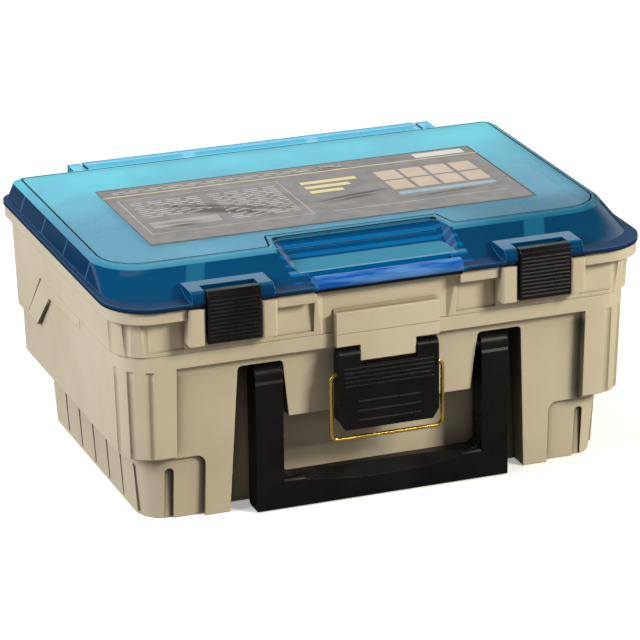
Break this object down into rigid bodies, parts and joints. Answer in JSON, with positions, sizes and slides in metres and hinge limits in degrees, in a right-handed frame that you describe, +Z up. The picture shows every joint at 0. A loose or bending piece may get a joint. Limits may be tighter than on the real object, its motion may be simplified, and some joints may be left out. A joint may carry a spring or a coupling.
{
  "type": "fishing tackle cabinet",
  "caption": "Two-level tackle case with a clear hinged lid, divided upper tray, deep lower case, snap latches, a draw latch with wire bail and a folding carry handle.",
  "frame": {"origin": "on the floor under the middle of the cabinet's bounding box", "axes": "+Z up, the front with the latches and the handle faces -Y, +X to the right seen from the front"},
  "size_m": [0.406, 0.2978, 0.1846],
  "materials": {
    "case_plastic": "satin beige moulded plastic",
    "divider_plastic": "satin beige moulded plastic",
    "clear_lid": "clear blue gloss plastic",
    "black_plastic": "satin black moulded plastic",
    "brass_wire": "polished brass-plated wire",
    "steel_pin": "bright drawn wire",
    "label_film": null
  },
  "bodies": {
    "lower_case": {"lower_case": "case_plastic", "case_hinge_pin_left": "steel_pin", "case_hinge_pin_right": "steel_pin", "main_latch_pin": "steel_pin", "handle_pin_left": "steel_pin", "handle_pin_right": "steel_pin"},
    "upper_case": {"upper_case": "case_plastic", "lid_hinge_pin": "steel_pin", "tray_divider_front_1": "divider_plastic", "tray_divider_front_2": "divider_plastic", "tray_divider_front_3": "divider_plastic", "tray_divider_rear_1": "divider_plastic", "tray_divider_rear_2": "divider_plastic", "tray_divider_rear_3": "divider_plastic"},
    "lid": {"lid": "clear_lid", "lid_label": "label_film", "lid_latch_pin_left": "steel_pin", "lid_latch_pin_right": "steel_pin"},
    "lid_latch_left": {"lid_latch_left": "black_plastic"},
    "lid_latch_right": {"lid_latch_right": "black_plastic"},
    "main_latch": {"main_latch_plate": "black_plastic"},
    "bail": {"latch_bail": "brass_wire"},
    "handle": {"carry_handle": "black_plastic"}
  },
  "joints": [
    {"name": "upper_case_hinge", "type": "hinge", "parent": "lower_case", "child": "upper_case", "pos_m": [0, 0.13908, 0.0935], "axis": [-1, 0, 0], "range_deg": [0, 90]},
    {"name": "lid_hinge", "type": "hinge", "parent": "upper_case", "child": "lid", "pos_m": [0, 0.14458, 0.17195], "axis": [-1, 0, 0], "range_deg": [0, 100]},
    {"name": "lid_latch_left_pivot", "type": "hinge", "parent": "lid", "child": "lid_latch_left", "pos_m": [-0.117, -0.14042, 0.17145], "axis": [-1, 0, 0], "range_deg": [0, 100]},
    {"name": "lid_latch_right_pivot", "type": "hinge", "parent": "lid", "child": "lid_latch_right", "pos_m": [0.117, -0.14042, 0.17145], "axis": [-1, 0, 0], "range_deg": [0, 100]},
    {"name": "main_latch_pivot", "type": "hinge", "parent": "lower_case", "child": "main_latch", "pos_m": [0, -0.13542, 0.1125], "axis": [1, 0, 0], "range_deg": [-110, 0]},
    {"name": "bail_pivot", "type": "hinge", "parent": "main_latch", "child": "bail", "pos_m": [0, -0.13592, 0.099], "axis": [-1, 0, 0], "range_deg": [0, 175]},
    {"name": "handle_pivot", "type": "hinge", "parent": "lower_case", "child": "handle", "pos_m": [0, -0.12043, 0.1015], "axis": [-1, 0, 0], "range_deg": [0, 90]}
  ]
}
